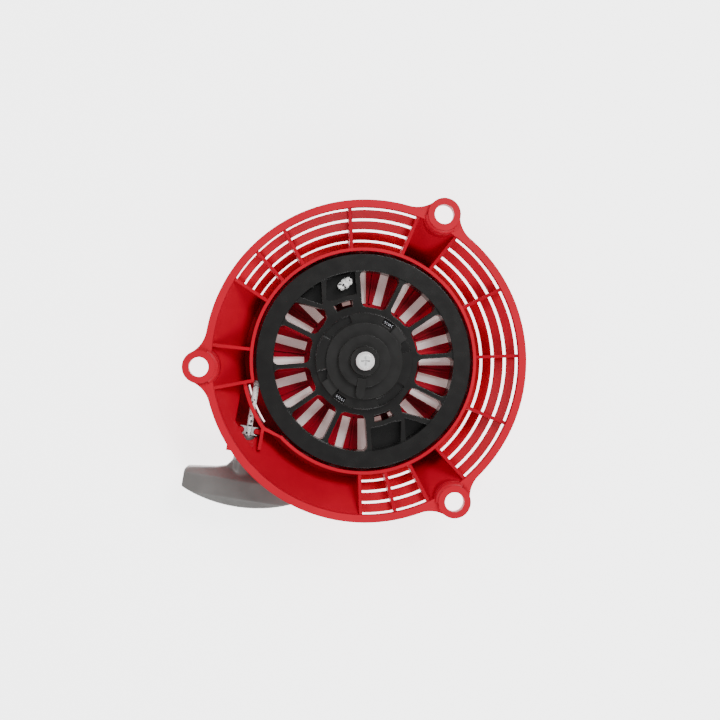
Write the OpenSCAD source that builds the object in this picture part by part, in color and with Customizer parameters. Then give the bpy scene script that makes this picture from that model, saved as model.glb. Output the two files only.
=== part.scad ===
// Recoil starter for a small engine: slatted plastic case with three bolt ears, rope reel with a
// spiral return spring, two ratchet pawls with their guide, rope, rope eyelet and T-shaped grip.
// The origin is the centre of the bolt circle, in the plane of the ear faces.
// The engine side is +Z, and the closed outer face of the case is at the bottom.

/* [Mounting] */
// Diameter of the circle through the three bolt holes
bolt_circle_d = 190.5; // [189:0.5:194]
// Diameter of the bolt holes
bolt_hole_d = 11.2; // [10:0.1:11.6]
// Width of the raised ring round a bolt hole
ear_ring_w = 3.8; // [3.6:0.1:4]
// Height of the raised ring above the rim
ear_ring_h = 2.5; // [2.3:0.1:2.7]

/* [Case] */
// Outer diameter of the rim
rim_d = 185; // [184:0.5:188]
// Width of the rim
rim_w = 4.4; // [4:0.1:4.8]
// Height of the rim
rim_h = 4; // [3.6:0.1:4.4]
// Overall height from the ear faces to the outer face
case_h = 47.5; // [47:0.5:49]
// Thickness of the cone wall and the outer plate
wall_t = 2.4; // [2.2:0.1:2.6]
// Thickness of the radial ribs
rib_t = 2; // [1.8:0.1:2.2]
// Height of the wall round the reel, measured from the inside of the outer plate
ring_wall_h = 18.6; // [18:0.1:19]
// Thickness of the wall round the reel
ring_wall_t = 2; // [1.8:0.1:2.2]

/* [Louvres] */
// Number of slats in the cone
slat_count = 3; // [3]
// Radial width of a slat
slat_w = 4.4; // [4:0.1:4.6]
// Drop of a slat across its width
slat_drop = 3.3; // [3:0.1:3.6]
// Vertical thickness of a slat
slat_t = 2.8; // [2.4:0.1:3]
// Number of radial slots in the outer plate
plate_slots = 24; // [20:1:24]
// Width of a slot in the outer plate
plate_slot_w = 5.2; // [4.6:0.1:5.4]

/* [Reel] */
// Outer diameter of the reel flanges
reel_d = 126.8; // [126:0.2:127.4]
// Radial gap between the reel and the wall round it
reel_gap = 2; // [1.8:0.1:2.2]
// Width of the rope groove
groove_w = 10.6; // [10.4:0.1:10.8]
// Thickness of the reel flanges
flange_t = 1.8; // [1.6:0.1:2]
// Thickness of the drum wall
drum_t = 2; // [1.8:0.1:2.2]
// Outer diameter of the hub
hub_d = 64; // [63:0.5:65]
// Diameter of the raised boss that carries the pawls
boss_d = 57; // [56.5:0.5:57.5]
// Width of a reel spoke
spoke_w = 2.7; // [2.4:0.1:3]
// Diameter of the centre post that the reel turns on
post_d = 15; // [14:0.1:15.5]
// Radial running clearance of the turning fits
running_gap = 0.05; // [0.02:0.01:0.1]

/* [Rope and grip] */
// Diameter of the rope
rope_d = 3.5; // [3.4:0.1:3.6]
// Length of the grip from tip to tip
grip_l = 66.6; // [60:0.2:70]
// Thickness of the grip
grip_t = 18; // [16:0.2:19]
// Diameter of the neck of the grip
neck_d = 13; // [12:0.1:14]
// Diameter of the nose of the grip
nose_d = 7.8; // [7.4:0.1:8.2]

/* [Hidden] */
$fn = 96;
eps = 0.01;
clear = 0.3;
root = 0.4;

// Angles of the ears, the solid sectors of the cone and the radial ribs
ear_a = [62, 182, 302];
channel_half_a = 8;
solid_sectors = [[54, 70], [148, 268], [294, 310]];
slat_sectors = [[-50, 54], [70, 148], [268, 294]];
lap_a = 0.35;
vent_rib_a = [336, 2, 28, 96, 122, 135, 148, 268, 281];

// Case radii and levels
rim_r = rim_d / 2;
rim_in_r = rim_r - rim_w;
rim_top = -ear_ring_h;
rim_bottom = rim_top - rim_h;
plate_in = -case_h + wall_t;
cone_top_r = rim_in_r + root;
cone_foot_r = rim_in_r - 17.6;
cone_slope = (cone_top_r - cone_foot_r) / (rim_bottom - plate_in);
cone_wall_w = wall_t * sqrt(1 + cone_slope * cone_slope);
plate_r = cone_foot_r + cone_wall_w - 0.7;
ring_in_r = reel_d / 2 + reel_gap;
ring_out_r = ring_in_r + ring_wall_t;
ring_top = plate_in + ring_wall_h;
rib_foot = -case_h + root;
slat_pitch_r = slat_w + 0.8;
slat_pitch_z = (case_h - 15.7) / slat_count;
first_slat_z = rim_bottom - 6.2;

// Ears
hole_r = bolt_hole_d / 2;
ear_r = hole_r + ear_ring_w;
ear_reach = bolt_circle_d / 2;
ear_fillet_r = 17;
tool_r = ear_r + 0.5;
pillar_r = tool_r + 0.75 * wall_t;

// Slots in the outer plate
slot_in_r = 35;
slot_out_r = 62;

// Rope line: x is the distance from the centre and y runs along the pull, from the tangent point
rope_r = reel_d / 2 - 3.2;
rope_a = 170.5;
rope_z = plate_in + 14.1;
eyelet_y = 51.7;
bulkhead_t = 3;
seat_gap = 0.95;
bulkhead_top = rope_z + 2;
pocket_left = 8.6;
pocket_right = 7;
pocket_y0 = 27;
pocket_floor = plate_in - 0.25;
end_wall_slope = 1.82;
end_wall_y = 54.9;

// Bulge in the wall round the reel where the rope leaves
bulge_r = ring_in_r + 4.9;
bulge_t = 2.2;
bulge_a0 = 190;
bulge_a1 = 214;
bulge_a2 = 222;

// Reel levels
groove_top = plate_in + 18.3;
groove_bottom = groove_top - groove_w;
reel_top = groove_top + flange_t;
reel_bottom = groove_bottom - flange_t;
reel_r = reel_d / 2;
core_r = rope_r - 0.88 * rope_d - rope_d / 2;
drum_in_r = core_r - drum_t;
hub_r = hub_d / 2;
window_in_r = hub_r;
window_out_r = drum_in_r + 0.4;
boss_r = boss_d / 2;
boss_top = reel_top + 3.5;
deck_bottom = reel_top - 7;
cavity_r = boss_r - 0.4;
spoke_top = reel_top - 1;
spoke_a0 = 4;
spoke_pitch = 30;
corner_r = 3.5;
rail_r = 39;
vee_r = 40;
post_r = post_d / 2;
post_top = boss_top + 0.6;

// Ratchet
pawl_pivot_r = 20.5;
pawl_pivot_a = 24;
pawl_tip_a = 47;
pawl_out_r = boss_r - 0.6;
pawl_in_r = 22.4;
pawl_pin_r = 1.8;
pawl_t = 2.9;
spring_a0 = 50.5;
spring_a1 = 63;
spring_seat_r = 26;
coil_r = 1.5;
guide_r = 22.5;
guide_z = boss_top + 0.3;
guide_t = 1.8;
guide_step_r = 15.3;
guide_step_h = 3;
guide_boss_r = 8.5;
guide_boss_h = 3.2;
screw_r = 3;
screw_head_r = 5.4;
screw_head_h = 3.6;
insert_r = 4.2;
guide_top = guide_z + guide_t + guide_step_h + guide_boss_h;

// Return spring
strip_t = 0.7;
strip_h = 8.6;
spring_turns = 8;
spiral_r0 = post_r + 2;
spiral_r1 = cavity_r - 1.2;

// Grip
apex_y = 97;
grip_arc_r = 78;
grip_tip_w = 11.7;
neck_y0 = 61.8;
nose_y0 = eyelet_y + 2.8;
knot_y = 84;
knot_r = 3.6;
grip_half = grip_l / 2;
grip_tip_y = apex_y - grip_arc_r + sqrt(grip_arc_r * grip_arc_r - grip_half * grip_half);

function polar(r, a) = [r * cos(a), r * sin(a)];
function arc(c, r, a0, a1, n) = [for (i = [0:n]) c + polar(r, a0 + (a1 - a0) * i / n)];
function mirrored(points, a) = [for (i = [len(points) - 1:-1:0])
    [points[i][0] * cos(2 * a) + points[i][1] * sin(2 * a),
     points[i][0] * sin(2 * a) - points[i][1] * cos(2 * a)]];

module sector(a0, a1, r) {
    reach = r / cos((a1 - a0) / 4);
    polygon([[0, 0], polar(reach, a0), polar(reach, (3 * a0 + a1) / 4), polar(reach, (a0 + a1) / 2),
        polar(reach, (a0 + 3 * a1) / 4), polar(reach, a1)]);
}

module ring_sector(r0, r1, a0, a1, z0, z1) {
    rotate([0, 0, a0]) rotate_extrude(angle = a1 - a0, $fn = 180) translate([r0, z0]) square([r1 - r0, z1 - z0]);
}

module on_rope_line() {
    rotate([0, 0, rope_a]) children();
}

module along_rope(y) {
    translate([rope_r, y, rope_z]) rotate([-90, 0, 0]) children();
}

// ---- case ----

module cone_void() {
    rotate_extrude($fn = 180) polygon([[0, plate_in - root], [cone_foot_r + root, plate_in - root],
        [cone_top_r + root, rim_bottom], [cone_top_r + root, 1], [0, 1]]);
}

module cone_sector(a0, a1) {
    rotate([0, 0, a0]) rotate_extrude(angle = a1 - a0, $fn = 180) polygon([
        [cone_foot_r - 1, -case_h + 0.6], [cone_foot_r + cone_wall_w - 1, -case_h + 0.6],
        [cone_top_r + cone_wall_w, rim_bottom + 0.5], [cone_top_r + cone_wall_w - 0.5, rim_bottom + 1.5],
        [cone_top_r + 0.5, rim_bottom + 1.5], [cone_top_r, rim_bottom - 0.2], [cone_foot_r, plate_in - 0.2],
        [cone_foot_r - 1, plate_in - 0.5]]);
}

module slat(i) {
    r = rim_in_r - 0.2 - i * slat_pitch_r;
    z = first_slat_z - i * slat_pitch_z;
    for (s = slat_sectors) rotate([0, 0, s[0] - lap_a / 2]) rotate_extrude(angle = s[1] - s[0] + lap_a, $fn = 180)
        polygon([[r, z], [r, z - slat_t], [r - slat_w, z - slat_drop - slat_t], [r - slat_w, z - slat_drop]]);
}

module rib(a) {
    inner_r = ring_in_r + 0.3 * ring_wall_t;
    rotate([0, 0, a]) translate([0, rib_t / 2, 0]) rotate([90, 0, 0]) linear_extrude(rib_t)
        polygon([[inner_r, rib_foot], [cone_foot_r + cone_wall_w - 1.2, rib_foot],
            [cone_top_r + cone_wall_w - 0.2, rim_bottom + 0.5], [rim_in_r + 1, rim_bottom + 1.2],
            [rim_in_r - 1, rim_bottom - 0.3], [ring_out_r, ring_top - 0.3], [inner_r, ring_top - 0.3]]);
}

// Outline of an ear: the bolt ring, joined to the rim by a concave fillet on each side
module ear_outline() {
    reach = rim_r + ear_fillet_r;
    tip = ear_r - 0.05;
    side_a = acos((ear_reach * ear_reach + reach * reach - pow(tip + ear_fillet_r, 2)) / (2 * ear_reach * reach));
    centre = polar(reach, side_a);
    meet_a = atan2(centre[1], centre[0] - ear_reach);
    fillet = arc(centre, ear_fillet_r, side_a + 180, meet_a + 180, 8);
    fillet_down = [for (p = fillet) [p[0], -p[1]]];
    nose = arc([ear_reach, 0], tip, -meet_a, meet_a, 20);
    polygon(concat([polar(rim_r - 1, side_a)], fillet, [for (i = [19:-1:1]) nose[i]],
        [for (i = [8:-1:0]) fillet_down[i]], [polar(rim_r - 1, -side_a), [rim_r - 2, 0]]));
}

module ear() {
    translate([0, 0, rim_bottom + 0.25]) linear_extrude(rim_h - root) ear_outline();
    translate([ear_reach, 0, rim_bottom + 1]) cylinder(r = ear_r, h = -rim_bottom - 1);
    translate([ear_reach, 0, 0]) rotate([0, 0, 120]) rotate_extrude(angle = 120) polygon([
        [ear_r - 0.6, rim_bottom + 0.6], [pillar_r - 0.4, rim_bottom + 0.6], [pillar_r - 0.4, rim_top - 0.4],
        [pillar_r - 0.8, rim_top + 0.7], [pillar_r - 1.5, rim_top + 1.4], [ear_r - 0.1, rim_top + 1.8],
        [ear_r - 0.6, rim_top + 1.8]]);
}

// Round column under each ear: the tool hole turns it into a thin wall that dies into the cone
module ear_pillar() {
    low = 28;
    x_low = cone_foot_r + (rim_bottom - low - plate_in) * cone_slope + 0.5;
    x_high = cone_top_r + 0.5;
    intersection() {
        translate([ear_reach, 0, rim_bottom - low]) cylinder(r = pillar_r, h = low + 2);
        translate([0, 20, 0]) rotate([90, 0, 0]) linear_extrude(40) polygon([[x_low - 6, rim_bottom - low],
            [x_low, rim_bottom - low], [x_high, rim_bottom], [x_high, rim_bottom + 2],
            [x_low - 6, rim_bottom + 2]]);
    }
}

module outer_plate() {
    translate([0, 0, -case_h]) linear_extrude(wall_t) difference() {
        circle(r = plate_r, $fn = 180);
        for (i = [0:plate_slots - 1]) rotate([0, 0, i * 360 / plate_slots])
            translate([slot_in_r, -plate_slot_w / 2]) square([slot_out_r - slot_in_r, plate_slot_w]);
    }
}

module plate_ridges() {
    for (i = [0:plate_slots - 1]) rotate([0, 0, (i + 0.5) * 360 / plate_slots])
        translate([slot_in_r, -0.6, plate_in - root]) cube([slot_out_r - slot_in_r, 1.2, 1.2 + root]);
}

// Wall round the reel; its bulge and the straight wall that closes it are one outline
module ring_wall() {
    foot = plate_in - root;
    ring_sector(ring_in_r, ring_out_r, bulge_a2, 360 + bulge_a0, foot, ring_top);
    translate([0, 0, foot + 0.1]) linear_extrude(ring_top - foot - 0.25) polygon(concat(
        arc([0, 0], bulge_r + bulge_t, bulge_a0 - 0.4, bulge_a1, 8),
        [polar(ring_out_r - 0.2, bulge_a2 + 0.8), polar(ring_in_r + 0.2, bulge_a2 + 1)],
        arc([0, 0], bulge_r, bulge_a1 - 0.5, bulge_a0 - 0.4, 8)));
}

module pocket_profile(grow) {
    polygon([[pocket_y0 - grow, pocket_floor - 0.8 * grow],
        [end_wall_y - (rope_z - plate_in) / end_wall_slope + grow, pocket_floor - 0.8 * grow],
        [end_wall_y + 1.14 * grow, rope_z],
        [end_wall_y + 12 / end_wall_slope + 1.14 * grow, rope_z + 12],
        [pocket_y0 - grow, rope_z + 12]]);
}

module pocket_body(grow) {
    on_rope_line() translate([rope_r - pocket_right - grow, 0, 0]) rotate([90, 0, 90])
        linear_extrude(pocket_left + pocket_right + 2 * grow) pocket_profile(grow);
}

// Throat in the bulkhead that the rope eyelet sits in, with a rounded arm on each side of it
module eyelet_seat() {
    throat_r = rope_d / 2 + 0.6 + seat_gap;
    nose_r = bulkhead_t / 2 + 0.55;
    translate([rope_r, eyelet_y, rope_z]) rotate([-90, 0, 0]) rotate_extrude() difference() {
        translate([0, -bulkhead_t]) square([throat_r + nose_r, 2 * bulkhead_t]);
        translate([throat_r + nose_r, 0]) circle(r = nose_r);
    }
    translate([rope_r - throat_r, eyelet_y - bulkhead_t, rope_z]) cube([2 * throat_r, 2 * bulkhead_t, 8]);
}

module bulkhead() {
    on_rope_line() {
        translate([rope_r - pocket_right - 1.1, 0, 0]) intersection() {
            translate([0, eyelet_y - bulkhead_t / 2, plate_in - 1])
                cube([pocket_left + pocket_right + 2.2, bulkhead_t, bulkhead_top - plate_in + 1]);
            translate([-1, 0, 0]) rotate([90, 0, 90])
                linear_extrude(pocket_left + pocket_right + 5) pocket_profile(1);
        }
        translate([rope_r - pocket_right - rib_t, eyelet_y - 4, rope_z - 2]) rotate([90, 0, 90])
            linear_extrude(rib_t) polygon([[0, 0], [0, ring_top - rope_z + 2], [4, ring_top - rope_z + 2],
                [13.5, 14.5], [13.5, 8], [6, 0]]);
    }
}

module case() {
    color([0.80, 0.10, 0.13]) difference() {
        union() {
            difference() {
                union() {
                    rotate_extrude($fn = 180) translate([rim_in_r, rim_bottom]) square([rim_w, rim_h]);
                    for (s = solid_sectors) cone_sector(s[0] - lap_a, s[1] + lap_a);
                    for (i = [0:slat_count - 1]) slat(i);
                    outer_plate();
                    for (a = vent_rib_a) rib(a);
                    for (a = ear_a) {
                        rib(a - channel_half_a);
                        rib(a + channel_half_a);
                    }
                    for (a = ear_a) rotate([0, 0, a]) ear();
                    for (a = ear_a) rotate([0, 0, a]) ear_pillar();
                    difference() {
                        pocket_body(wall_t);
                        cone_void();
                    }
                }
                pocket_body(0);
            }
            ring_wall();
            bulkhead();
            plate_ridges();
            translate([0, 0, plate_in - root]) cylinder(r = post_r + 1.5, h = deck_bottom - 0.5 - plate_in + root);
            translate([0, 0, plate_in - root]) cylinder(r = post_r, h = post_top - plate_in + root);
        }
        for (a = ear_a) rotate([0, 0, a]) {
            translate([ear_reach, 0, -case_h]) cylinder(r = hole_r, h = case_h + 1);
            translate([ear_reach, 0, -case_h - 1]) cylinder(r = tool_r, h = case_h + 1 + rim_bottom + 0.5);
        }
        ring_sector(bulge_r - 1.2, bulge_r - 0.3, bulge_a0 + 2, bulge_a1 - 2, -case_h - 1, plate_in + 1);
        on_rope_line() {
            translate([rope_r - rope_d / 2 - 1.6, 16, rope_z - 5]) cube([rope_d + 2.5, 33, 7.4]);
            eyelet_seat();
            along_rope(eyelet_y + bulkhead_t / 2 - 0.1) cylinder(r = 5.9, h = 1.5);
            along_rope(eyelet_y + 2) cylinder(r = nose_d / 2 + clear, h = 14);
        }
        translate([0, 0, post_top - 18]) cylinder(r = insert_r, h = 20);
        translate([-0.5, 0, plate_in + 0.6]) cube([1.2, post_r + 2, strip_h + 1]);
    }
}

module post_insert() {
    color([0.78, 0.62, 0.28]) translate([0, 0, post_top - 18]) difference() {
        cylinder(r = insert_r, h = 16);
        translate([0, 0, -1]) cylinder(r = screw_r, h = 18);
    }
}

module setting_screw() {
    color([0.80, 0.81, 0.82]) difference() {
        union() {
            translate([0, 0, post_top - 16]) cylinder(r = screw_r, h = guide_top - post_top + 16 + root);
            translate([0, 0, guide_top + 0.2]) cylinder(r = screw_head_r, h = screw_head_h - 1.2);
            translate([0, 0, guide_top + 0.2 + screw_head_h - 1.2])
                cylinder(r1 = screw_head_r, r2 = screw_head_r - 1.4, h = 1.2);
        }
        for (a = [0, 90]) rotate([0, 0, a]) translate([-2.6, -0.5, guide_top + screw_head_h - 1.8]) cube([5.2, 1, 3]);
    }
}

module rope_eyelet() {
    waist_r = rope_d / 2 + 0.6;
    flare = 3.2;
    half = 2.5;
    color([0.78, 0.79, 0.80]) on_rope_line() difference() {
        along_rope(eyelet_y) rotate_extrude() difference() {
            translate([waist_r, -half]) square([flare, 2 * half]);
            translate([waist_r + 0.9 + half - 0.4, 0]) circle(r = half - 0.4);
            translate([waist_r + 0.9 + half - 0.4, -half + 0.4]) square([flare, 2 * half - 0.8]);
        }
        translate([rope_r - 10, eyelet_y - 5, rope_z + 1.9]) cube([20, 10, 10]);
    }
}

module rope_run() {
    color([0.92, 0.91, 0.88]) on_rope_line() along_rope(21.8) cylinder(r = rope_d / 2, h = nose_y0 - 21.8 - clear);
}

module return_spring() {
    steps = 20 * spring_turns;
    color([0.45, 0.46, 0.48]) translate([0, 0, plate_in + 1]) linear_extrude(strip_h) polygon(concat(
        [for (i = [0:steps]) polar(spiral_r0 + (spiral_r1 - spiral_r0) * i / steps, 90 + i * 18)],
        [for (i = [steps:-1:0]) polar(spiral_r0 + strip_t + (spiral_r1 - spiral_r0) * i / steps, 90 + i * 18)]));
}

// ---- reel ----

module window(a) {
    h = spoke_w / 2;
    inner = [sqrt(pow(window_in_r + corner_r, 2) - pow(h + corner_r, 2)), h + corner_r];
    outer = [sqrt(pow(window_out_r - corner_r, 2) - pow(h + corner_r, 2)), h + corner_r];
    inner_a = atan2(inner[1], inner[0]);
    outer_a = atan2(outer[1], outer[0]);
    side = concat(arc(inner, corner_r, inner_a + 180, 270, 5), arc(outer, corner_r, -90, outer_a, 5));
    mid = spoke_pitch / 2;
    rotate([0, 0, a]) polygon(concat(side, [polar(window_out_r, (outer_a + mid) / 2), polar(window_out_r, mid)],
        [polar(window_out_r, 2 * mid - (outer_a + mid) / 2)], mirrored(side, mid), [polar(window_in_r, mid)]));
}

// Knot pocket, its neighbour and the cut-down windows beside them, from the spoke at angle 0
module knot_pocket_outline() {
    h = spoke_w / 2;
    polygon(concat([[sqrt(pow(rail_r + 1, 2) - h * h), h]], arc([0, 0], window_out_r, 1.6, 20, 5),
        [polar(vee_r + 2, 28), polar(rail_r + 1, 22), polar(rail_r + 1, 12)]));
}

module side_pocket_outline() {
    polygon(concat(arc([0, 0], window_out_r, 24, 41, 5), [polar(vee_r + 1.5, 32)]));
}

module small_window_outline() {
    polygon(concat(arc([0, 0], rail_r - 2, 6, 25, 4), arc([0, 0], window_in_r + 1, 24, 7, 4)));
}

module side_window_outline() {
    h = spoke_w / 2;
    outer = [sqrt(pow(window_out_r - corner_r, 2) - pow(h + corner_r, 2)), -h - corner_r];
    inner = [sqrt(pow(window_in_r + corner_r, 2) - pow(h + corner_r, 2)), -h - corner_r];
    points = concat(arc(outer, corner_r, atan2(outer[1], outer[0]), 90, 5),
        arc(inner, corner_r, 90, 180 + atan2(inner[1], inner[0]), 5));
    turned = [for (p = points) [p[0] * cos(60) - p[1] * sin(60), p[0] * sin(60) + p[1] * cos(60)]];
    polygon(concat(turned, [polar(window_in_r, 44), polar(window_in_r + 1.5, 36), polar(vee_r - 2, 33),
        polar(drum_in_r - 1, 44.6), polar(window_out_r, 46)]));
}

module pawl_pocket() {
    linear_extrude(10) intersection() {
        sector(12, spring_a0 - 1, boss_r + 3);
        difference() {
            circle(r = boss_r + 3);
            circle(r = pawl_in_r - 5.6);
        }
    }
    rotate([0, 0, (spring_a0 + spring_a1) / 2]) translate([spring_seat_r - coil_r - 0.2, -3.4, 0])
        cube([2 * coil_r + 0.4, 6.8, 10]);
}

module reel() {
    color([0.13, 0.13, 0.13]) difference() {
        union() {
            rotate_extrude($fn = 180) polygon([[drum_in_r, reel_bottom], [reel_r, reel_bottom],
                [reel_r, groove_bottom], [core_r, groove_bottom], [core_r, groove_top], [reel_r, groove_top],
                [reel_r, reel_top], [drum_in_r, reel_top]]);
            translate([0, 0, reel_bottom]) difference() {
                cylinder(r = drum_in_r + 0.5, h = spoke_top - reel_bottom, $fn = 180);
                for (i = [0:11]) if (i != 3 && i != 4 && i != 9 && i != 10)
                    translate([0, 0, -1]) linear_extrude(20) window(spoke_a0 + i * spoke_pitch);
                for (a = [94, 274]) rotate([0, 0, a]) {
                    translate([0, 0, 1.8]) linear_extrude(20) knot_pocket_outline();
                    translate([0, 0, 1.8]) linear_extrude(20) side_pocket_outline();
                    translate([0, 0, -1]) linear_extrude(20) small_window_outline();
                    translate([0, 0, -1]) linear_extrude(20) side_window_outline();
                }
            }
            translate([0, 0, plate_in + 0.6]) cylinder(r = hub_r, h = spoke_top - plate_in - 0.6);
            translate([0, 0, deck_bottom]) cylinder(r = boss_r, h = boss_top - deck_bottom);
        }
        translate([0, 0, plate_in]) cylinder(r = cavity_r, h = deck_bottom - plate_in);
        translate([0, 0, deck_bottom - 1]) cylinder(r = post_r + running_gap, h = 20);
        for (a = [0, 180]) rotate([0, 0, a]) translate([0, 0, boss_top - pawl_t - 0.4]) difference() {
            pawl_pocket();
            rotate([0, 0, pawl_pivot_a]) translate([pawl_pivot_r, 0, -1]) cylinder(r = pawl_pin_r, h = pawl_t + 1);
        }
        for (a = [128, 308]) rotate([0, 0, a]) translate([0, 0, boss_top - 2])
            linear_extrude(5) difference() {
                sector(-20, 20, boss_r - 0.8);
                circle(r = guide_r + 1);
            }
        rope_lead(rope_d / 2 + 0.4);
    }
}

// Stretch of rope from the knot through the vee bar and the drum wall into the groove
module rope_lead(r) {
    a = polar(47.5, 105);
    b = polar(core_r + 2, 132);
    turn = atan2(b[1] - a[1], b[0] - a[0]);
    translate([a[0], a[1], rope_z - 0.8]) rotate([0, 90, turn]) cylinder(r = r, h = norm(b - a));
}

module rope_wound() {
    inner_r = core_r + rope_d / 2 + 0.05;
    turns = floor(groove_w / rope_d);
    pitch = groove_w / turns;
    color([0.92, 0.91, 0.88]) union() {
        rotate_extrude($fn = 180) union() {
            for (i = [0:turns - 1]) translate([inner_r, groove_bottom + (i + 0.5) * pitch])
                circle(r = rope_d / 2 - 0.05, $fn = 24);
            translate([rope_r, rope_z]) circle(r = rope_d / 2 - 0.05, $fn = 24);
            if (rope_z - 1.5 * rope_d > groove_bottom)
                translate([rope_r, rope_z - rope_d]) circle(r = rope_d / 2 - 0.05, $fn = 24);
            translate([inner_r, rope_z - rope_d]) square([rope_r - inner_r, rope_d]);
            translate([inner_r - 1, groove_bottom + pitch / 2]) square([2, groove_w - pitch]);
        }
        rope_lead(rope_d / 2);
    }
}

module reel_knot() {
    color([0.92, 0.91, 0.88]) difference() {
        union() {
            translate([47.6 * cos(104), 47.6 * sin(104), rope_z - 0.8])
                sphere(r = 3.4, $fn = 32);
            translate([48.2 * cos(99.5), 48.2 * sin(99.5), rope_z - 0.2]) sphere(r = 2.7, $fn = 32);
        }
        rope_lead(rope_d / 2 + eps);
    }
}

module friction_spring() {
    color([0.6, 0.6, 0.62]) translate([0, 0, boss_top + clear]) difference() {
        cylinder(r = 11.4, h = guide_t + guide_step_h - 2.4);
        translate([0, 0, -1]) cylinder(r = 9.6, h = 20);
    }
}

module pawl_spring(a) {
    mid = (spring_a0 + spring_a1) / 2;
    length = 5.4;
    color([0.7, 0.7, 0.72]) rotate([0, 0, a + mid])
        translate([spring_seat_r, -length / 2, boss_top - pawl_t / 2 - 0.2]) rotate([-90, 0, 0]) difference() {
            cylinder(r = coil_r, h = length);
            translate([0, 0, -1]) cylinder(r = coil_r - 0.7, h = length + 2);
        }
}

module pawl_spring_a() {
    pawl_spring(0);
}

module pawl_spring_b() {
    pawl_spring(180);
}

module ratchet_guide() {
    tab_a = 262;
    color([0.17, 0.17, 0.17]) difference() {
        union() {
            translate([0, 0, guide_z]) cylinder(r = guide_r, h = guide_t);
            translate([0, 0, guide_z]) cylinder(r = guide_step_r, h = guide_t + guide_step_h);
            translate([0, 0, guide_z]) cylinder(r1 = guide_boss_r + 1, r2 = guide_boss_r, h = guide_top - guide_z);
            rotate([0, 0, tab_a]) translate([10.5, -2.6, guide_z + 1]) cube([9, 5.2, guide_step_h + 1.6]);
            rotate([0, 0, tab_a]) translate([19.5, 0, guide_z + 1]) cylinder(r = 2.6, h = guide_step_h + 1.6);
        }
        translate([0, 0, guide_z - 1]) cylinder(r = 12.2, h = guide_t + guide_step_h - 1);
        translate([0, 0, guide_z - 1]) cylinder(r = screw_r + running_gap, h = 20);
    }
}

module pawl() {
    pivot = polar(pawl_pivot_r, pawl_pivot_a);
    color([0.22, 0.22, 0.22]) translate([0, 0, boss_top - pawl_t - 0.2]) difference() {
        union() {
            linear_extrude(pawl_t) polygon(concat(arc([0, 0], pawl_out_r, pawl_pivot_a + 3, pawl_tip_a, 6),
                arc([0, 0], pawl_in_r, pawl_tip_a, pawl_pivot_a + 6, 5), [pivot]));
            translate([pivot[0], pivot[1], 0]) cylinder(r = 3.3, h = pawl_t);
        }
        translate([pivot[0], pivot[1], -1]) cylinder(r = pawl_pin_r + running_gap, h = 10);
    }
}

module pawl_a() {
    pawl();
}

module pawl_b() {
    rotate([0, 0, 180]) pawl();
}

// ---- grip ----

module grip_plan() {
    tip_a = asin(grip_half / grip_arc_r);
    neck_r = neck_d / 2;
    polygon(concat(arc([0, apex_y - grip_arc_r], grip_arc_r, 90 - tip_a, 90 + tip_a, 24),
        [[-grip_half, grip_tip_y - grip_tip_w + 1.5], [-grip_half + 1.5, grip_tip_y - grip_tip_w]],
        [[-neck_r - 9, apex_y - 21.3], [-neck_r - 3, apex_y - 23], [-neck_r, apex_y - 27]],
        [[neck_r, apex_y - 27], [neck_r + 3, apex_y - 23], [neck_r + 9, apex_y - 21.3]],
        [[grip_half - 1.5, grip_tip_y - grip_tip_w], [grip_half, grip_tip_y - grip_tip_w + 1.5]]));
}

module grip_section() {
    h = grip_t / 2;
    polygon([[apex_y - 28, -h + 5.6], [apex_y - 21.5, -h + 5], [apex_y - 16, -h], [apex_y - 5, -h], [apex_y + 1, -h + 3],
        [apex_y + 1, h - 3], [apex_y - 5, h], [apex_y - 16, h], [apex_y - 21.5, h - 5], [apex_y - 28, h - 5.6]]);
}

module grip() {
    color([0.30, 0.30, 0.29]) on_rope_line() difference() {
        union() {
            intersection() {
                translate([rope_r, 0, rope_z - grip_t / 2]) linear_extrude(grip_t) grip_plan();
                translate([rope_r - grip_half - 1, 0, rope_z]) rotate([90, 0, 90])
                    linear_extrude(grip_l + 2) grip_section();
            }
            along_rope(neck_y0) cylinder(r = neck_d / 2, h = apex_y - 18 - neck_y0);
            along_rope(nose_y0) cylinder(r = nose_d / 2, h = 10);
        }
        along_rope(nose_y0 - 1) cylinder(r = rope_d / 2 + 0.1, h = 40);
        along_rope(knot_y - 0.5) cylinder(r = knot_r + 1, h = 20);
    }
}

module rope_grip_end() {
    color([0.92, 0.91, 0.88]) on_rope_line() along_rope(nose_y0 + 0.4) cylinder(r = rope_d / 2, h = knot_y - nose_y0 - 0.4);
}

module grip_knot() {
    color([0.92, 0.91, 0.88]) on_rope_line() difference() {
        translate([rope_r, knot_y + knot_r - 0.4, rope_z]) sphere(r = knot_r, $fn = 32);
        along_rope(knot_y - 5) cylinder(r = 20, h = 5);
    }
}

case();
post_insert();
setting_screw();
rope_eyelet();
rope_run();
return_spring();
reel();
rope_wound();
reel_knot();
friction_spring();
pawl_spring_a();
pawl_spring_b();
ratchet_guide();
pawl_a();
pawl_b();
grip();
rope_grip_end();
grip_knot();
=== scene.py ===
"""Looks of a recoil starter: a slatted plastic case, rope reel, ratchet and T-grip."""

import logging
import math
from dataclasses import dataclass
from enum import Enum

import bmesh
import bpy
from mathutils import Matrix, Vector


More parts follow.
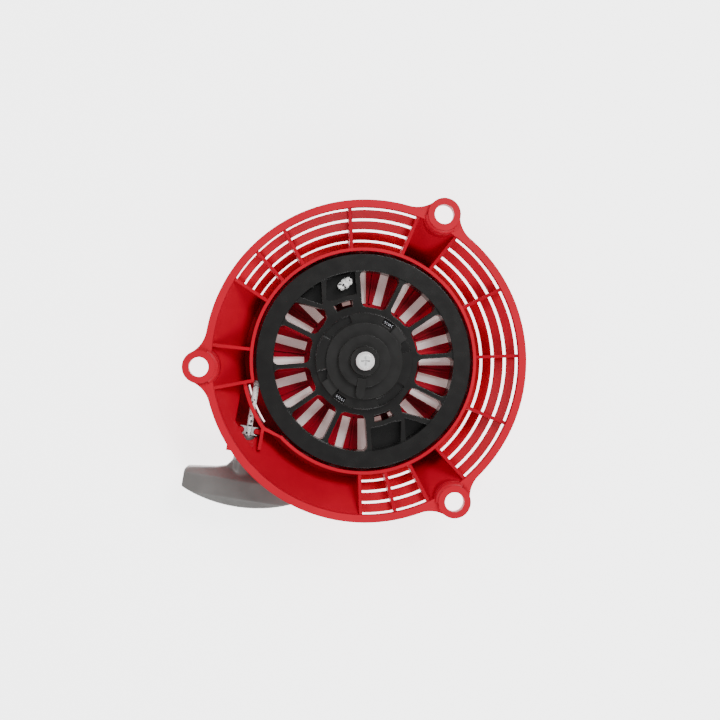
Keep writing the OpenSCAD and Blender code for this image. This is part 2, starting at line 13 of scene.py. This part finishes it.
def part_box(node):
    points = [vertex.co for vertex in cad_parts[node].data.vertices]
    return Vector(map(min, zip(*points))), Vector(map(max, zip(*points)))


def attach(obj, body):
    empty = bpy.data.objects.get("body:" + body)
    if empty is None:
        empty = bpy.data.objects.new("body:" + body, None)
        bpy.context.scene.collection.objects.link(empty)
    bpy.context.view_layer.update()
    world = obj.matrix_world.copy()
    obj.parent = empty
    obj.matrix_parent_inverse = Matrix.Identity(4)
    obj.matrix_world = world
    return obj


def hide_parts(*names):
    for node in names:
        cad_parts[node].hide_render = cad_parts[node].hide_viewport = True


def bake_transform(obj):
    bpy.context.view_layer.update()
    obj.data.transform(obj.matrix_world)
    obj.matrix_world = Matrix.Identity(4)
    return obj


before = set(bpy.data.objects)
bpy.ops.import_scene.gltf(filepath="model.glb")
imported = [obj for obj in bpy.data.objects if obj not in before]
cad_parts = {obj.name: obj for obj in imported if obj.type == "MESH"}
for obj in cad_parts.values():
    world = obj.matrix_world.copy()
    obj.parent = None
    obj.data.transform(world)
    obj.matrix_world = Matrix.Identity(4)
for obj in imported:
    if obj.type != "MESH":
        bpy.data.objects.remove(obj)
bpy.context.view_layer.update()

LOG = logging.getLogger("recoil_starter")
MM = 0.001


class Body(Enum):
    """Bodies of the starter that pieces ride on."""

    CASE = "case"
    REEL = "reel"
    GRIP = "grip"


@dataclass(frozen=True)
class PlasticFinish:
    """A moulded plastic: its colour, sheen, grain and how far its edges are rounded."""

    name: str
    colour: tuple[float, float, float]
    shade: tuple[float, float, float]
    roughness: float
    grain_scale: float
    grain_height: float
    edge_mm: float
    coat: float = 0.0
    gloss: float = 0.5


@dataclass(frozen=True)
class MetalFinish:
    """A metal: its colour, sheen and the scale of its fine marks."""

    name: str
    colour: tuple[float, float, float]
    shade: tuple[float, float, float]
    roughness: float
    mark_scale: float
    edge_mm: float
    metallic: float = 1.0


@dataclass(frozen=True)
class RopeFinish:
    """A braided cord: yarn colour, a darker painted shade for the grooves of the braid, and the tracer
    colour.
    """

    name: str
    yarn: tuple[float, float, float]
    painted_groove_shade: tuple[float, float, float]
    tracer: tuple[float, float, float]
    strand_mm: float


CASE_RED = PlasticFinish(
    "case_red", (0.50, 0.0024, 0.0200), (0.43, 0.0019, 0.0160), 0.42, 900.0, 0.10, 0.50, 0.0, 0.15)
REEL_BLACK = PlasticFinish(
    "reel_black", (0.0048, 0.0046, 0.0044), (0.0076, 0.0072, 0.0068), 0.26, 700.0, 0.10, 0.70, 0.12, 0.42)
GUIDE_GREY = PlasticFinish(
    "guide_grey", (0.0070, 0.0067, 0.0064), (0.0100, 0.0096, 0.0092), 0.36, 800.0, 0.14, 0.35, 0.0, 0.36)
PAWL_GREY = PlasticFinish(
    "pawl_grey", (0.0110, 0.0105, 0.0100), (0.0150, 0.0145, 0.0140), 0.34, 900.0, 0.12, 0.25, 0.0, 0.4)
GRIP_CHARCOAL = PlasticFinish(
    "grip_charcoal", (0.098, 0.094, 0.090), (0.128, 0.123, 0.118), 0.36, 650.0, 0.18, 0.4, 0.0, 0.5)
SCREW_ZINC = MetalFinish("screw_zinc", (0.98, 0.98, 0.98), (0.92, 0.92, 0.92), 0.22, 900.0, 0.25, 0.3)
EYELET_STEEL = MetalFinish("eyelet_steel", (0.92, 0.92, 0.91), (0.78, 0.78, 0.78), 0.14, 500.0, 0.15, 0.7)
SPRING_STEEL = MetalFinish("spring_steel", (0.42, 0.43, 0.45), (0.27, 0.28, 0.30), 0.30, 1200.0, 0.1)
INSERT_BRASS = MetalFinish("insert_brass", (0.72, 0.52, 0.22), (0.56, 0.39, 0.15), 0.28, 900.0, 0.1)
BRAIDED_ROPE = RopeFinish(
    "braided_rope", (0.96, 0.95, 0.93), (0.62, 0.61, 0.59), (0.02, 0.02, 0.025), 1.1)


class ShaderGraph:
    """Small helper that adds nodes to a tree and links them."""

    def __init__(self, tree: bpy.types.NodeTree) -> None:
        """Keeps the tree.

        Args:
            tree: the node tree to build in.
        """
        self.tree = tree

    def node(self, kind: str, **settings: object) -> bpy.types.Node:
        """Adds a node.

        Args:
            kind: the node's type name.
            settings: properties set on the node.

        Returns:
            The new node.
        """
        made = self.tree.nodes.new(kind)
        for key, value in settings.items():
            setattr(made, key, value)
        return made

    def link(self, source: bpy.types.NodeSocket, target: bpy.types.NodeSocket) -> None:
        """Links two sockets."""
        self.tree.links.new(source, target)

    def math(self, operation: str, first: object, second: object = None) -> bpy.types.NodeSocket:
        """Adds a math node.

        Args:
            operation: the math node's operation.
            first: a socket or a number.
            second: a socket, a number or None.

        Returns:
            The result's socket.
        """
        made = self.node("ShaderNodeMath", operation=operation)
        for slot, value in enumerate((first, second)):
            if value is None:
                continue
            if isinstance(value, (int, float)):
                made.inputs[slot].default_value = value
            else:
                self.link(value, made.inputs[slot])
        return made.outputs[0]

    def mix(self, factor: bpy.types.NodeSocket, first: object, second: object) -> bpy.types.NodeSocket:
        """Mixes two colours.

        Args:
            factor: how much of the second colour shows.
            first: a socket or an RGB tuple.
            second: a socket or an RGB tuple.

        Returns:
            The mixed colour's socket.
        """
        made = self.node("ShaderNodeMix", data_type="RGBA")
        self.link(factor, made.inputs[0])
        for slot, value in ((6, first), (7, second)):
            if isinstance(value, tuple):
                made.inputs[slot].default_value = (*value, 1.0)
            else:
                self.link(value, made.inputs[slot])
        return made.outputs[2]


def new_group(name: str, inputs: dict[str, float], outputs: dict[str, str]) -> tuple:
    """Starts a shader group.

    Args:
        name: the group's name.
        inputs: float inputs and their defaults.
        outputs: output names and their socket types.

    Returns:
        The group, a graph on it, and its input and output nodes.
    """
    group = bpy.data.node_groups.new(name, "ShaderNodeTree")
    for key, value in inputs.items():
        made = group.interface.new_socket(key, in_out="INPUT", socket_type="NodeSocketFloat")
        made.default_value = value
    for key, kind in outputs.items():
        group.interface.new_socket(key, in_out="OUTPUT", socket_type=kind)
    graph = ShaderGraph(group)
    return group, graph, graph.node("NodeGroupInput"), graph.node("NodeGroupOutput")


def moulded_surface_group() -> bpy.types.NodeTree:
    """Fine grain, slow tone changes and softened edges of a moulded plastic.

    Returns:
        The shader group.
    """
    group, graph, given, out = new_group(
        "MouldedSurface", {"Grain Scale": 800.0, "Edge Radius": 0.0003},
        {"Tone": "NodeSocketFloat", "Sheen": "NodeSocketFloat", "Grain": "NodeSocketFloat",
         "Soft Normal": "NodeSocketVector"})
    place = graph.node("ShaderNodeTexCoord")
    slow = graph.node("ShaderNodeTexNoise")
    slow.inputs["Scale"].default_value = 26.0
    slow.inputs["Detail"].default_value = 4.0
    graph.link(place.outputs["Object"], slow.inputs["Vector"])
    streak = graph.node("ShaderNodeMapping")
    streak.inputs["Scale"].default_value = (1.0, 1.0, 0.25)
    graph.link(place.outputs["Object"], streak.inputs["Vector"])
    wear = graph.node("ShaderNodeTexNoise")
    wear.inputs["Scale"].default_value = 140.0
    wear.inputs["Detail"].default_value = 6.0
    graph.link(streak.outputs[0], wear.inputs["Vector"])
    grain = graph.node("ShaderNodeTexNoise")
    grain.inputs["Detail"].default_value = 3.0
    graph.link(given.outputs["Grain Scale"], grain.inputs["Scale"])
    graph.link(place.outputs["Object"], grain.inputs["Vector"])
    edge = graph.node("ShaderNodeBevel", samples=4)
    graph.link(given.outputs["Edge Radius"], edge.inputs["Radius"])
    tone = graph.math("ADD", graph.math("MULTIPLY", slow.outputs[0], 0.7),
                      graph.math("MULTIPLY", wear.outputs[0], 0.3))
    graph.link(tone, out.inputs["Tone"])
    graph.link(graph.math("SUBTRACT", wear.outputs[0], 0.5), out.inputs["Sheen"])
    graph.link(grain.outputs[0], out.inputs["Grain"])
    graph.link(edge.outputs[0], out.inputs["Soft Normal"])
    return group


def metal_surface_group() -> bpy.types.NodeTree:
    """Fine turned marks and softened edges of a metal piece.

    Returns:
        The shader group.
    """
    group, graph, given, out = new_group(
        "MetalSurface", {"Mark Scale": 900.0, "Edge Radius": 0.0002},
        {"Tone": "NodeSocketFloat", "Marks": "NodeSocketFloat", "Soft Normal": "NodeSocketVector"})
    place = graph.node("ShaderNodeTexCoord")
    stretch = graph.node("ShaderNodeMapping")
    stretch.inputs["Scale"].default_value = (1.0, 1.0, 0.12)
    graph.link(place.outputs["Object"], stretch.inputs["Vector"])
    marks = graph.node("ShaderNodeTexNoise")
    marks.inputs["Detail"].default_value = 5.0
    graph.link(given.outputs["Mark Scale"], marks.inputs["Scale"])
    graph.link(stretch.outputs[0], marks.inputs["Vector"])
    tarnish = graph.node("ShaderNodeTexNoise")
    tarnish.inputs["Scale"].default_value = 160.0
    graph.link(place.outputs["Object"], tarnish.inputs["Vector"])
    edge = graph.node("ShaderNodeBevel", samples=4)
    graph.link(given.outputs["Edge Radius"], edge.inputs["Radius"])
    graph.link(tarnish.outputs[0], out.inputs["Tone"])
    graph.link(marks.outputs[0], out.inputs["Marks"])
    graph.link(edge.outputs[0], out.inputs["Soft Normal"])
    return group


def braid_group() -> bpy.types.NodeTree:
    """Crossing strands of a braided cord, with a few dark tracer yarns.

    Returns:
        The shader group.
    """
    group, graph, given, out = new_group(
        "Braid", {"Strand Scale": 900.0},
        {"Strands": "NodeSocketFloat", "Tracer": "NodeSocketFloat"})
    place = graph.node("ShaderNodeTexCoord")
    waves = []
    for turn in (0.9, -0.9):
        turned = graph.node("ShaderNodeMapping")
        turned.inputs["Rotation"].default_value = (0.5 * turn, 0.4 * turn, turn)
        graph.link(place.outputs["Object"], turned.inputs["Vector"])
        wave = graph.node("ShaderNodeTexWave", wave_type="BANDS", bands_direction="X")
        wave.inputs["Distortion"].default_value = 0.6
        graph.link(given.outputs["Strand Scale"], wave.inputs["Scale"])
        graph.link(turned.outputs[0], wave.inputs["Vector"])
        waves.append(wave.outputs[1])
    graph.link(graph.math("MAXIMUM", waves[0], waves[1]), out.inputs["Strands"])
    flecks = graph.node("ShaderNodeTexVoronoi", feature="F1")
    flecks.inputs["Scale"].default_value = 420.0
    graph.link(place.outputs["Object"], flecks.inputs["Vector"])
    graph.link(graph.math("LESS_THAN", flecks.outputs["Distance"], 0.30), out.inputs["Tracer"])
    return group


class FinishShop:
    """Builds each finish once and keeps it for reuse."""

    def __init__(self) -> None:
        """Makes the shared groups."""
        self.moulded = moulded_surface_group()
        self.metal = metal_surface_group()
        self.braid = braid_group()
        self.made: dict[str, bpy.types.Material] = {}

    def _start(self, name: str) -> tuple[bpy.types.Material, ShaderGraph, bpy.types.Node]:
        """Starts a material.

        Args:
            name: the material's name.

        Returns:
            The material, a graph on it and its principled shader.
        """
        material = bpy.data.materials.new(name)
        material.use_nodes = True
        graph = ShaderGraph(material.node_tree)
        return material, graph, material.node_tree.nodes["Principled BSDF"]

    def plastic(self, finish: PlasticFinish) -> bpy.types.Material:
        """Makes a plastic.

        Args:
            finish: what it looks like.

        Returns:
            The material.
        """
        if finish.name in self.made:
            return self.made[finish.name]
        material, graph, shader = self._start(finish.name)
        surface = graph.node("ShaderNodeGroup", node_tree=self.moulded)
        surface.inputs["Grain Scale"].default_value = finish.grain_scale
        surface.inputs["Edge Radius"].default_value = finish.edge_mm * MM
        tone = graph.node("ShaderNodeMapRange")
        tone.inputs["From Min"].default_value = 0.35
        tone.inputs["From Max"].default_value = 0.65
        graph.link(surface.outputs["Tone"], tone.inputs["Value"])
        graph.link(graph.mix(tone.outputs[0], finish.colour, finish.shade), shader.inputs["Base Color"])
        sheen = graph.math("MULTIPLY_ADD", surface.outputs["Sheen"], 0.18)
        sheen.node.inputs[2].default_value = finish.roughness
        graph.link(sheen, shader.inputs["Roughness"])
        bump = graph.node("ShaderNodeBump")
        bump.inputs["Strength"].default_value = finish.grain_height
        bump.inputs["Distance"].default_value = 0.0002
        graph.link(surface.outputs["Grain"], bump.inputs["Height"])
        graph.link(surface.outputs["Soft Normal"], bump.inputs["Normal"])
        graph.link(bump.outputs[0], shader.inputs["Normal"])
        shader.inputs["Coat Weight"].default_value = finish.coat
        shader.inputs["Coat Roughness"].default_value = 0.2
        shader.inputs["Specular IOR Level"].default_value = finish.gloss
        self.made[finish.name] = material
        return material

    def metal_finish(self, finish: MetalFinish) -> bpy.types.Material:
        """Makes a metal.

        Args:
            finish: what it looks like.

        Returns:
            The material.
        """
        if finish.name in self.made:
            return self.made[finish.name]
        material, graph, shader = self._start(finish.name)
        surface = graph.node("ShaderNodeGroup", node_tree=self.metal)
        surface.inputs["Mark Scale"].default_value = finish.mark_scale
        surface.inputs["Edge Radius"].default_value = finish.edge_mm * MM
        colour = graph.mix(surface.outputs["Tone"], finish.colour, finish.shade)
        graph.link(colour, shader.inputs["Base Color"])
        shader.inputs["Metallic"].default_value = finish.metallic
        rough = graph.math("MULTIPLY_ADD", surface.outputs["Marks"], 0.16)
        rough.node.inputs[2].default_value = finish.roughness - 0.08
        graph.link(rough, shader.inputs["Roughness"])
        bump = graph.node("ShaderNodeBump")
        bump.inputs["Strength"].default_value = 0.08
        bump.inputs["Distance"].default_value = 0.0001
        graph.link(surface.outputs["Marks"], bump.inputs["Height"])
        graph.link(surface.outputs["Soft Normal"], bump.inputs["Normal"])
        graph.link(bump.outputs[0], shader.inputs["Normal"])
        self.made[finish.name] = material
        return material

    def rope(self, finish: RopeFinish) -> bpy.types.Material:
        """Makes a braided cord.

        Args:
            finish: what it looks like.

        Returns:
            The material.
        """
        if finish.name in self.made:
            return self.made[finish.name]
        material, graph, shader = self._start(finish.name)
        surface = graph.node("ShaderNodeGroup", node_tree=self.braid)
        surface.inputs["Strand Scale"].default_value = 0.31 / (finish.strand_mm * MM)
        # Painted shade: the grooves of the braid get a darker colour, mixed in by the strand pattern.
        white = graph.mix(surface.outputs["Strands"], finish.painted_groove_shade, finish.yarn)
        graph.link(graph.mix(surface.outputs["Tracer"], white, finish.tracer), shader.inputs["Base Color"])
        shader.inputs["Roughness"].default_value = 0.6
        shader.inputs["Sheen Weight"].default_value = 0.2
        bump = graph.node("ShaderNodeBump")
        bump.inputs["Strength"].default_value = 0.7
        bump.inputs["Distance"].default_value = 0.0004
        graph.link(surface.outputs["Strands"], bump.inputs["Height"])
        graph.link(bump.outputs[0], shader.inputs["Normal"])
        self.made[finish.name] = material
        return material


def dress(piece: bpy.types.Object, material: bpy.types.Material) -> None:
    """Gives a piece one material on all of its faces.

    Args:
        piece: the mesh object.
        material: the material.
    """
    piece.data.materials.clear()
    piece.data.materials.append(material)


def piece_from(shape: bmesh.types.BMesh, name: str, smooth: bool = True) -> bpy.types.Object:
    """Turns a bmesh into an object of the scene.

    Args:
        shape: the finished bmesh, which is freed.
        name: the object's name.
        smooth: whether its faces are shaded smooth.

    Returns:
        The new object.
    """
    bmesh.ops.recalc_face_normals(shape, faces=shape.faces)
    mesh = bpy.data.meshes.new(name)
    shape.to_mesh(mesh)
    shape.free()
    for face in mesh.polygons:
        face.use_smooth = smooth
    made = bpy.data.objects.new(name, mesh)
    bpy.context.scene.collection.objects.link(made)
    return made


def swept_tube(points: list[Vector], radius: float, sides: int, name: str) -> bpy.types.Object:
    """Sweeps a round section along a smooth line and closes both ends.

    Args:
        points: the line's points, in metres.
        radius: the section's radius.
        sides: how many sides the section has.
        name: the piece's name.

    Returns:
        The new object.
    """
    shape = bmesh.new()
    heading = (points[1] - points[0]).normalized()
    turn = Vector((0, 0, 1)).rotation_difference(heading).to_matrix().to_4x4()
    ring = bmesh.ops.create_circle(
        shape, cap_ends=False, radius=radius, segments=sides, matrix=Matrix.Translation(points[0]) @ turn)
    edges = list({edge for vert in ring["verts"] for edge in vert.link_edges})
    first = list(edges)
    for index in range(1, len(points)):
        before = heading
        after = points[min(index + 1, len(points) - 1)] - points[index - 1]
        heading = after.normalized()
        grown = bmesh.ops.extrude_edge_only(shape, edges=edges)["geom"]
        verts = [item for item in grown if isinstance(item, bmesh.types.BMVert)]
        edges = [item for item in grown if isinstance(item, bmesh.types.BMEdge)]
        bend = before.rotation_difference(heading).to_matrix()
        bmesh.ops.rotate(shape, verts=verts, cent=points[index - 1], matrix=bend)
        bmesh.ops.translate(shape, verts=verts, vec=points[index] - points[index - 1])
    bmesh.ops.edgeloop_fill(shape, edges=first)
    bmesh.ops.edgeloop_fill(shape, edges=edges)
    return piece_from(shape, name)


@dataclass
class Ropework:
    """Rope from the reel through the eyelet to the grip, and the knot on the reel."""

    shop: FinishShop
    rope_d: float = 3.5 * MM
    line_turn: float = math.radians(170.5)
    line_x: float = 60.2 * MM
    line_z: float = -31.0 * MM
    route_in_case: tuple[float, ...] = (21.9, 30.0, 40.0, 48.0, 50.2)
    stretch_mm: float = 4.6
    stretch_steps: int = 48
    route_in_grip: tuple[float, ...] = (60.0, 70.0, 83.9)
    blend_from: float = 50.2 * MM
    blend_to: float = 54.8 * MM
    knot_from_mm: tuple[float, float, float] = (-8.0, 48.6, -31.4)
    knot_to_mm: tuple[float, float, float] = (-13.6, 43.6, -31.8)
    knot_r: float = 1.75 * MM
    knot_turns: float = 2.5
    knot_steps: int = 90

    def on_line(self, along: float) -> Vector:
        """Gives a point of the rope's straight line.

        Args:
            along: distance from the point where the rope leaves the reel.

        Returns:
            The point, in metres.
        """
        point = Vector((self.line_x, along, self.line_z))
        return Matrix.Rotation(self.line_turn, 4, "Z") @ point

    def pulled_rope(self) -> bpy.types.Object:
        """Makes the rope that runs from the case into the grip, with closely spaced rings over a short
        stretch past the case.

        Returns:
            The new object.
        """
        steps = list(self.route_in_case)
        steps += [self.route_in_case[-1] + self.stretch_mm * (count + 1) / self.stretch_steps
                  for count in range(self.stretch_steps)]
        steps += list(self.route_in_grip)
        line = [self.on_line(step * MM) for step in steps]
        rope = swept_tube(line, 0.5 * self.rope_d, 20, "pull_rope")
        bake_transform(rope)
        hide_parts("rope_run", "rope_grip_end")
        return rope

    def wound_turns(self) -> bpy.types.Object:
        """Makes the turns of rope in the reel's groove, three below and two on top of them.

        Returns:
            The new object.
        """
        low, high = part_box("rope_wound")
        radius = 0.48 * self.rope_d
        lift = 0.5 * (high.z - low.z) - radius
        mid = 0.5 * (low.z + high.z)
        inner = self.line_x - 0.86 * self.rope_d
        rows = [(inner, mid + shift) for shift in (-lift, 0.0, lift)]
        rows += [(self.line_x, self.line_z), (self.line_x, self.line_z - self.rope_d)]
        shape = bmesh.new()
        for distance, level in rows:
            place = Matrix.Translation((distance, 0, level)) @ Matrix.Rotation(0.5 * math.pi, 4, "X")
            ring = bmesh.ops.create_circle(shape, cap_ends=False, radius=radius, segments=16, matrix=place)
            edges = list({edge for vert in ring["verts"] for edge in vert.link_edges})
            bmesh.ops.spin(shape, geom=list(ring["verts"]) + edges, cent=(0, 0, 0), axis=(0, 0, 1),
                           angle=2.0 * math.pi, steps=128, use_merge=True)
        turns = piece_from(shape, "rope_turns")
        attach(turns, Body.REEL.value)
        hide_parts("rope_wound")
        return turns

    def reel_knot(self) -> bpy.types.Object:
        """Makes the knot that holds the rope in the reel.

        Returns:
            The new object.
        """
        start = Vector(self.knot_from_mm) * MM
        finish = Vector(self.knot_to_mm) * MM
        along = finish - start
        side = along.cross(Vector((0, 0, 1))).normalized()
        up = side.cross(along).normalized()
        tube = 0.41 * self.rope_d
        line = []
        for count in range(self.knot_steps + 1):
            share = count / self.knot_steps
            turn = 2.0 * math.pi * self.knot_turns * share
            swell = self.knot_r * (0.35 + 0.65 * math.sin(math.pi * share) ** 0.5)
            line.append(start + along * (share + 0.10 * math.sin(2.0 * turn))
                        + side * (swell * math.cos(turn)) + up * (swell * math.sin(turn)))
        knot = swept_tube(line, tube, 14, "rope_knot")
        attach(knot, Body.REEL.value)
        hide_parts("reel_knot")
        return knot

    def build(self) -> list[bpy.types.Object]:
        """Builds and dresses the ropework.

        Returns:
            Its pieces.
        """
        finish = self.shop.rope(BRAIDED_ROPE)
        pieces = [self.pulled_rope(), self.wound_turns(), self.reel_knot()]
        for piece in pieces:
            dress(piece, finish)
        for node in ("rope_wound", "grip_knot", "rope_run", "rope_grip_end", "reel_knot"):
            dress(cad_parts[node], finish)
        return pieces


@dataclass
class CoilSprings:
    """The small wound springs: one behind each pawl and one under the ratchet guide."""

    shop: FinishShop
    wire_d: float = 0.5 * MM
    steps_per_turn: int = 24
    pawl_axis_turn: float = math.radians(56.75)
    pawl_coil_turns: float = 5.0
    pawl_coil_r: float = 1.5 * MM
    friction_coil_turns: float = 2.5
    friction_coil_r: float = 11.3 * MM

    def coil(self, node: str, turns: float, along: Vector, radius: float, body: Body) -> bpy.types.Object:
        """Winds one coil spring in the space of its CAD node.

        Args:
            node: the CAD node that it stands for.
            turns: how many turns it has.
            along: the direction of its axis.
            radius: its outer radius.
            body: the body that it rides on.

        Returns:
            The new object.
        """
        low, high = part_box(node)
        centre = 0.5 * (low + high)
        axis = along.normalized()
        side = axis.orthogonal().normalized()
        up = axis.cross(side)
        span = abs((high - low).dot(axis))
        if abs(axis.z) < 0.5:
            span = (high - low).xy.length * 0.78
        mid = radius - 0.5 * self.wire_d
        line = []
        count = int(self.steps_per_turn * turns)
        for index in range(count + 1):
            turn = 2.0 * math.pi * turns * index / count
            shift = (index / count - 0.5) * (span - self.wire_d)
            line.append(centre + axis * shift + side * (mid * math.cos(turn)) + up * (mid * math.sin(turn)))
        made = swept_tube(line, 0.5 * self.wire_d, 10, node + "_coil")
        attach(made, body.value)
        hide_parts(node)
        return made

    def build(self) -> list[bpy.types.Object]:
        """Builds and dresses the springs.

        Returns:
            Its pieces.
        """
        finish = self.shop.metal_finish(SPRING_STEEL)
        along = Vector((-math.sin(self.pawl_axis_turn), math.cos(self.pawl_axis_turn), 0.0))
        pieces = [self.coil(node, self.pawl_coil_turns, along, self.pawl_coil_r, Body.REEL)
                  for node in ("pawl_spring_a", "pawl_spring_b")]
        pieces.append(self.coil("friction_spring", self.friction_coil_turns, Vector((0, 0, 1)),
                                self.friction_coil_r, Body.REEL))
        for piece in pieces:
            dress(piece, finish)
        for node in ("pawl_spring_a", "pawl_spring_b", "friction_spring", "return_spring"):
            dress(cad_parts[node], finish)
        return pieces


@dataclass
class PullGrip:
    """The T-shaped grip, with the soft edges of a moulded piece."""

    shop: FinishShop
    voxel: float = 0.55 * MM
    passes: int = 14

    def build(self) -> bpy.types.Object:
        """Builds the grip from its CAD shape and rounds it over.

        Returns:
            The new object.
        """
        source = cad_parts["grip"]
        shape = bmesh.new()
        shape.from_mesh(source.data)
        bmesh.ops.remove_doubles(shape, verts=shape.verts, dist=1e-6)
        rough = piece_from(shape, "grip_rough")
        remesh = rough.modifiers.new("voxels", "REMESH")
        remesh.mode = "VOXEL"
        remesh.voxel_size = self.voxel
        smooth = rough.modifiers.new("smooth", "SMOOTH")
        smooth.factor = 0.5
        smooth.iterations = self.passes
        mesh = bpy.data.meshes.new_from_object(
            rough.evaluated_get(bpy.context.evaluated_depsgraph_get()))
        bpy.data.objects.remove(rough)
        for face in mesh.polygons:
            face.use_smooth = True
        made = bpy.data.objects.new("pull_grip", mesh)
        bpy.context.scene.collection.objects.link(made)
        dress(made, self.shop.plastic(GRIP_CHARCOAL))
        dress(source, self.shop.plastic(GRIP_CHARCOAL))
        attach(made, Body.GRIP.value)
        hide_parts("grip")
        return made


@dataclass
class MouldedBody:
    """Case, reel, guide, pawls, screw, insert and eyelet, whose shape is the CAD model's own."""

    shop: FinishShop

    def build(self) -> None:
        """Dresses the CAD nodes."""
        plastics = {"case": CASE_RED, "reel": REEL_BLACK, "ratchet_guide": GUIDE_GREY,
                    "pawl_a": PAWL_GREY, "pawl_b": PAWL_GREY}
        for node, finish in plastics.items():
            dress(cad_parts[node], self.shop.plastic(finish))
        metals = {"setting_screw": SCREW_ZINC, "rope_eyelet": EYELET_STEEL, "post_insert": INSERT_BRASS}
        for node, finish in metals.items():
            dress(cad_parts[node], self.shop.metal_finish(finish))


@dataclass
class Studio:
    """Floor with painted shade under the starter, soft lights and camera."""

    lens_mm: float = 57.2
    floor_z: float = -48.0 * MM
    floor_glow: float = 3.0
    shade_in: float = 74.0 * MM
    shade_out: float = 92.0 * MM
    # Painted shade: the dark pinkish colour that the floor glows with under the starter.
    painted_shade_colour: tuple[float, float, float] = (0.085, 0.060, 0.056)
    ambient: float = 0.42

    def floor(self) -> None:
        """Lays the pale, glowing floor, whose glow fades to a painted dark pinkish shade under the starter.
        """
        shape = bmesh.new()
        bmesh.ops.create_grid(shape, x_segments=1, y_segments=1, size=3.0,
                              matrix=Matrix.Translation((0, 0, self.floor_z)))
        made = piece_from(shape, "floor", smooth=False)
        material = bpy.data.materials.new("floor_white")
        material.use_nodes = True
        shader = material.node_tree.nodes["Principled BSDF"]
        shader.inputs["Base Color"].default_value = (0.93, 0.93, 0.93, 1.0)
        shader.inputs["Roughness"].default_value = 0.9
        graph = ShaderGraph(material.node_tree)
        place = graph.node("ShaderNodeTexCoord")
        reach = graph.node("ShaderNodeVectorMath", operation="LENGTH")
        graph.link(place.outputs["Object"], reach.inputs[0])
        # Painted shade: within shade_in of the centre the floor glows dark pinkish, fading to white by
        # shade_out, in place of the starter's shadow.
        fade = graph.node("ShaderNodeMapRange", interpolation_type="SMOOTHSTEP")
        fade.inputs["From Min"].default_value = self.shade_in
        fade.inputs["From Max"].default_value = self.shade_out
        graph.link(reach.outputs["Value"], fade.inputs["Value"])
        glow = graph.mix(fade.outputs[0], self.painted_shade_colour, (1.0, 1.0, 1.0))
        graph.link(glow, shader.inputs["Emission Color"])
        shader.inputs["Emission Strength"].default_value = self.floor_glow
        dress(made, material)

    def light(self, name: str, place: Vector, size: float, power: float) -> None:
        """Hangs one square light that faces the starter.

        Args:
            name: the light's name.
            place: where it hangs.
            size: its width.
            power: its power in watts.
        """
        lamp = bpy.data.lights.new(name, "AREA")
        lamp.shape = "SQUARE"
        lamp.size = size
        lamp.energy = power
        holder = bpy.data.objects.new(name, lamp)
        holder.location = place
        holder.rotation_euler = (-place).to_track_quat("-Z", "Y").to_euler()
        bpy.context.scene.collection.objects.link(holder)

    def camera(self) -> None:
        """Sets the camera above the engine side, a little to the left."""
        lens = bpy.data.cameras.new("camera")
        lens.lens = self.lens_mm
        lens.sensor_width = 36.0
        holder = bpy.data.objects.new("camera", lens)
        place = Vector((-43.7 * MM, 0.0, 650.0 * MM))
        aim = Vector((-3.8 * MM, 0.6 * MM, 0.0))
        back = (place - aim).normalized()
        right = Vector((0, 1, 0)).cross(back).normalized()
        up = back.cross(right)
        turn = Matrix((right, up, back)).transposed().to_4x4()
        holder.matrix_world = Matrix.Translation(place) @ turn
        bpy.context.scene.collection.objects.link(holder)
        bpy.context.scene.camera = holder

    def build(self) -> None:
        """Sets up the studio."""
        self.floor()
        self.light("key", Vector((0.45, 0.60, 0.95)), 0.5, 12.0)
        self.light("fill_left", Vector((-0.9, 0.35, 0.8)), 0.5, 6.0)
        self.light("fill_low", Vector((0.2, -0.9, 0.8)), 0.6, 11.5)
        world = bpy.data.worlds.new("studio")
        world.use_nodes = True
        world.node_tree.nodes["Background"].inputs[0].default_value = (1.0, 1.0, 1.0, 1.0)
        world.node_tree.nodes["Background"].inputs[1].default_value = self.ambient
        bpy.context.scene.world = world
        self.camera()


def main() -> None:
    """Builds the looks of the starter."""
    logging.basicConfig(level=logging.INFO)
    shop = FinishShop()
    MouldedBody(shop).build()
    LOG.info("dressed the moulded and metal nodes")
    for piece in Ropework(shop).build():
        LOG.info("made %s", piece.name)
    for piece in CoilSprings(shop).build():
        LOG.info("made %s", piece.name)
    LOG.info("made %s", PullGrip(shop).build().name)
    Studio().build()


if __name__ == "__main__":
    main()
